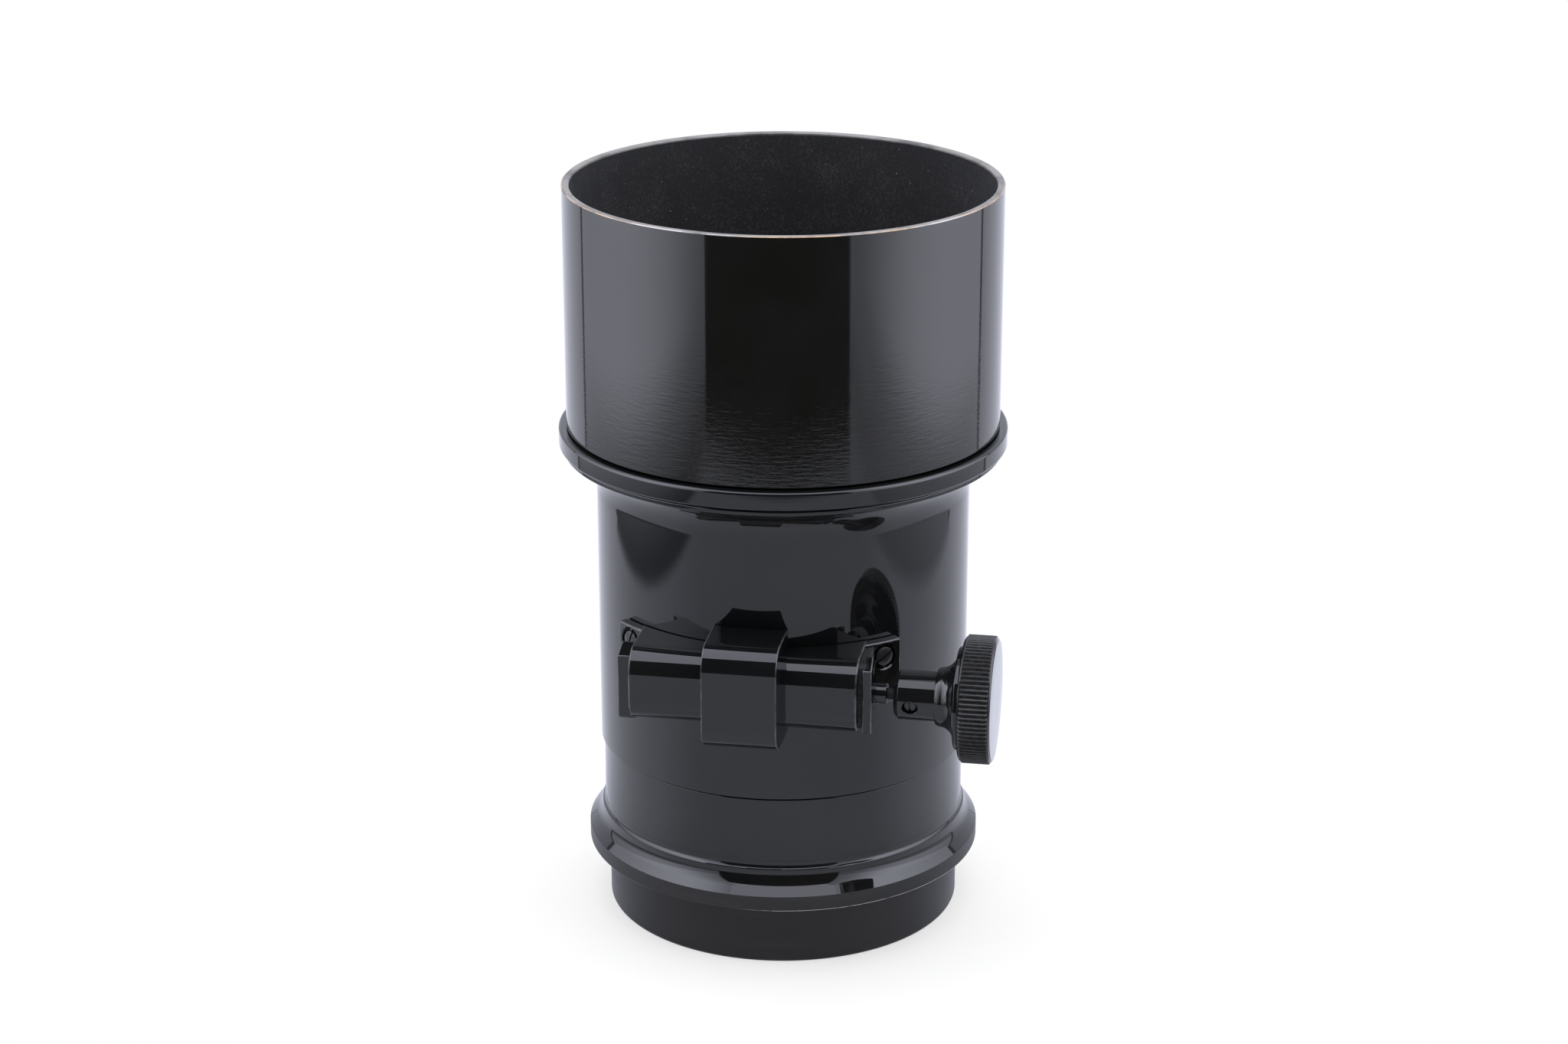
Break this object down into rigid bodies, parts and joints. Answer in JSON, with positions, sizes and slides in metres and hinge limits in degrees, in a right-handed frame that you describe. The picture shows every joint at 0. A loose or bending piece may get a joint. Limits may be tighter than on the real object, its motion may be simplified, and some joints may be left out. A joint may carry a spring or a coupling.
{
  "type": "portrait lens",
  "caption": "Black lacquered portrait lens with rack and pinion focusing, a straight hood, a slot for drop-in stops and a bayonet rear cap, standing on its cap.",
  "frame": {"origin": "centre of the rear cap's flat underside, on the optical axis", "axes": "+Z along the optical axis from the rear cap to the hood, -Y towards the focusing housing, +X towards the focusing knob"},
  "size_m": [0.0775, 0.0803, 0.1266],
  "materials": {
    "black_lacquer": "gloss black lacquer on brass",
    "matte_black": "matte black",
    "cap_plastic": "satin black",
    "brass": "turned",
    "steel": "turned",
    "blackened_steel": "blackened",
    "chrome": "polished",
    "glass": "coated"
  },
  "bodies": {
    "rear_group": {"rear_tube": "black_lacquer", "flange_bead": "black_lacquer", "mount_ring": "matte_black", "bayonet": "chrome", "mount_screw_1": "steel", "mount_screw_2": "steel", "mount_screw_3": "steel", "rack": "brass"},
    "rear_cap": {"rear_cap": "cap_plastic"},
    "focus_carriage": {"outer_sleeve": "black_lacquer", "seat_ring": "black_lacquer", "inner_barrel": "matte_black", "front_cell": "matte_black", "front_crown": "glass", "front_flint": "glass", "front_retainer": "matte_black", "rear_cell": "matte_black", "rear_flint": "glass", "rear_crown": "glass", "rear_spacer": "brass", "rear_retainer": "matte_black", "focus_housing": "black_lacquer", "ear_screw_left": "blackened_steel", "ear_screw_right": "blackened_steel", "shaft_bush_left": "brass", "shaft_bush_right": "brass"},
    "pinion": {"pinion_shaft": "blackened_steel", "pinion_gear": "brass", "focus_knob": "black_lacquer", "set_screw": "blackened_steel"},
    "hood": {"hood": "black_lacquer"}
  },
  "joints": [
    {"name": "focus_slide", "type": "slide", "parent": "rear_group", "child": "focus_carriage", "axis": [0, 0, 1], "range_m": [0, 0.0085]},
    {"name": "pinion_spin", "type": "hinge", "parent": "focus_carriage", "child": "pinion", "pos_m": [0, -0.03255, 0.0511], "axis": [1, 0, 0], "range_deg": [-136, 0]},
    {"name": "hood_lift", "type": "slide", "parent": "focus_carriage", "child": "hood", "axis": [0, 0, 1], "range_m": [0, 0.03]},
    {"name": "cap_twist", "type": "hinge", "parent": "rear_group", "child": "rear_cap", "pos_m": [0, 0, 0], "axis": [0, 0, 1], "range_deg": [0, 60]}
  ],
  "couplings": [
    {"joint": "pinion_spin", "follows": "focus_slide", "rad_per_m": -277.78}
  ]
}
